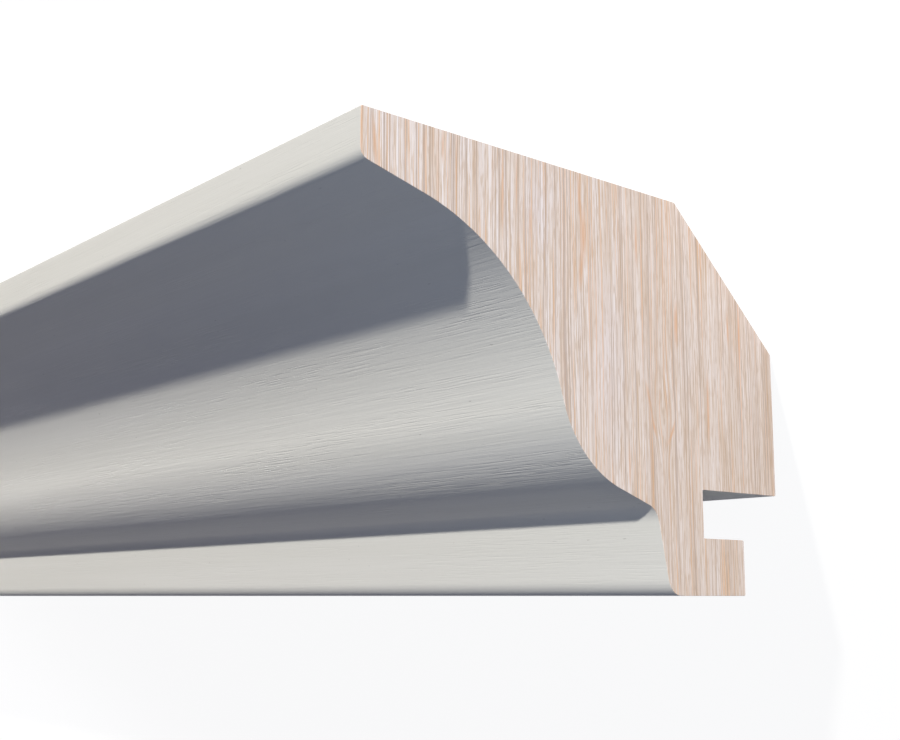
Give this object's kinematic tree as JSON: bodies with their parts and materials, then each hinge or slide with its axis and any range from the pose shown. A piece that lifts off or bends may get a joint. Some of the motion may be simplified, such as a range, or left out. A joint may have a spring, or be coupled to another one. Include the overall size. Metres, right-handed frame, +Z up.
{
  "type": "cornice moulding",
  "caption": "Length of timber cornice moulding with a cove and bulge ogee front, a square fascia, and a grooved and bevelled back, painted along its faces and bare at its sawn ends.",
  "frame": {"origin": "middle of the back bevel, halfway along the length, on the surface that the moulding lies on", "axes": "+X along the length, towards the end that the picture shows; +Z up, square to the bevel it lies on; +Y across, from the foot towards the fascia"},
  "size_m": [2.4, 0.1116, 0.0537],
  "materials": {
    "painted_timber": "matt light warm-grey paint over open oak grain on the long faces, bare sawn oak on both ends"
  },
  "bodies": {
    "root": {"cornice_moulding": "painted_timber"}
  },
  "joints": []
}
